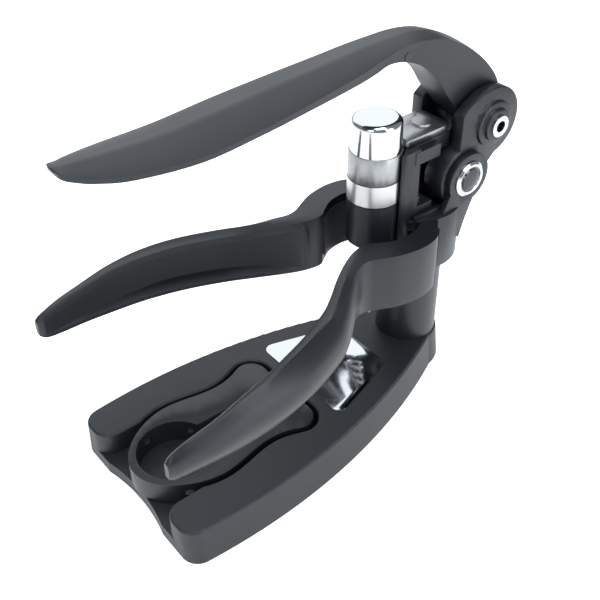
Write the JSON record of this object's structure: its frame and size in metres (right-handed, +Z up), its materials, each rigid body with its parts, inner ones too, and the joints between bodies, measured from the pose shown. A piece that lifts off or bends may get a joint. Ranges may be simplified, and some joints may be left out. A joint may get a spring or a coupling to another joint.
{
  "type": "lever corkscrew",
  "caption": "Lever corkscrew on its display stand: squeeze handles grip the neck, a top lever drives the worm through a carriage, foil cutter in the stand.",
  "frame": {"origin": "centre of the overall box, on the table under the stand", "axes": "+Z up, -Y the way the lever and handles point, +X to the right seen from the front"},
  "size_m": [0.0986, 0.1872, 0.1527],
  "materials": {
    "stand_plastic": "satin",
    "post_plastic": "satin",
    "body_plastic": "satin",
    "cutter_plastic": "satin",
    "pad_plastic": "matt",
    "soft_rubber": "matt",
    "mirror_plate": "polished",
    "bright_chrome": "polished",
    "brushed_ring": "brushed",
    "cast_metal": "satin",
    "screw_steel": "satin",
    "worm_steel": "satin"
  },
  "bodies": {
    "stand": {"stand_base": "stand_plastic", "stand_post": "post_plastic", "mirror_plate": "mirror_plate", "stand_feet": "soft_rubber", "stand_screws": "screw_steel"},
    "frame": {"frame_column": "body_plastic", "left_guide_rail": "body_plastic", "right_guide_rail": "body_plastic", "guide_screws": "screw_steel", "nut_block": "body_plastic", "nut_sleeve": "brushed_ring", "worm_nut": "pad_plastic", "left_pivot_screw": "bright_chrome", "right_pivot_screw": "bright_chrome", "left_hinge_pin": "screw_steel", "right_hinge_pin": "screw_steel"},
    "link": {"left_link": "body_plastic", "right_link": "body_plastic", "lever_pivot_pin": "screw_steel", "left_pivot_cap": "bright_chrome", "right_pivot_cap": "bright_chrome"},
    "lever": {"lever": "body_plastic", "lever_fork": "body_plastic", "lever_arm_pin": "screw_steel", "lever_screw": "pad_plastic", "pivot_washers": "pad_plastic"},
    "carriage": {"carriage": "cast_metal", "carriage_tongue": "cast_metal", "carriage_rivet": "cast_metal", "worm_cap": "bright_chrome", "worm_bearing": "pad_plastic"},
    "worm": {"worm": "worm_steel", "worm_clip": "screw_steel"},
    "left_handle": {"left_handle": "body_plastic", "left_grip_pad": "soft_rubber"},
    "right_handle": {"right_handle": "body_plastic", "right_grip_pad": "soft_rubber"},
    "foil_cutter": {"foil_cutter_body": "cutter_plastic", "foil_cutter_axles": "screw_steel"},
    "cutter_wheel_1": {"cutter_wheel_1": "screw_steel"},
    "cutter_wheel_2": {"cutter_wheel_2": "screw_steel"},
    "cutter_wheel_3": {"cutter_wheel_3": "screw_steel"},
    "cutter_wheel_4": {"cutter_wheel_4": "screw_steel"}
  },
  "joints": [
    {"name": "opener_lift", "type": "slide", "parent": "stand", "child": "frame", "axis": [0, 0, 1], "range_m": [0, 0.06]},
    {"name": "link_swing", "type": "hinge", "parent": "frame", "child": "link", "pos_m": [0, 0.0661, 0.0919], "axis": [1, 0, 0], "range_deg": [0, 19.2]},
    {"name": "lever_swing", "type": "hinge", "parent": "link", "child": "lever", "pos_m": [0, 0.0792, 0.1105], "axis": [-1, 0, 0], "range_deg": [0, 139.1]},
    {"name": "carriage_slide", "type": "slide", "parent": "frame", "child": "carriage", "axis": [0, 0, 1], "range_m": [0, 0.0483]},
    {"name": "worm_spin", "type": "hinge", "parent": "carriage", "child": "worm", "pos_m": [0, 0.031, 0.0575], "axis": [0, 0, 1], "range_deg": [0, 1931]},
    {"name": "left_handle_squeeze", "type": "hinge", "parent": "frame", "child": "left_handle", "pos_m": [-0.0085, 0.0558, 0.0575], "axis": [0, 0, 1], "range_deg": [0, 8]},
    {"name": "right_handle_squeeze", "type": "hinge", "parent": "frame", "child": "right_handle", "pos_m": [0.0085, 0.0558, 0.0575], "axis": [0, 0, -1], "range_deg": [0, 8]},
    {"name": "foil_cutter_lift", "type": "slide", "parent": "stand", "child": "foil_cutter", "axis": [0, 0, 1], "range_m": [0, 0.03]},
    {"name": "cutter_wheel_1_spin", "type": "hinge", "parent": "foil_cutter", "child": "cutter_wheel_1", "pos_m": [-0.00958, -0.05312, 0.011], "axis": [0, 0, 1], "continuous": true},
    {"name": "cutter_wheel_2_spin", "type": "hinge", "parent": "foil_cutter", "child": "cutter_wheel_2", "pos_m": [0.00958, -0.05312, 0.011], "axis": [0, 0, 1], "continuous": true},
    {"name": "cutter_wheel_3_spin", "type": "hinge", "parent": "foil_cutter", "child": "cutter_wheel_3", "pos_m": [-0.01613, -0.07112, 0.011], "axis": [0, 0, 1], "continuous": true},
    {"name": "cutter_wheel_4_spin", "type": "hinge", "parent": "foil_cutter", "child": "cutter_wheel_4", "pos_m": [0.01613, -0.07112, 0.011], "axis": [0, 0, 1], "continuous": true}
  ],
  "couplings": [
    {"joint": "link_swing", "follows": "lever_swing", "ratio": 0.1377},
    {"joint": "carriage_slide", "follows": "lever_swing", "m_per_rad": 0.019857},
    {"joint": "worm_spin", "follows": "lever_swing", "ratio": 13.863}
  ]
}
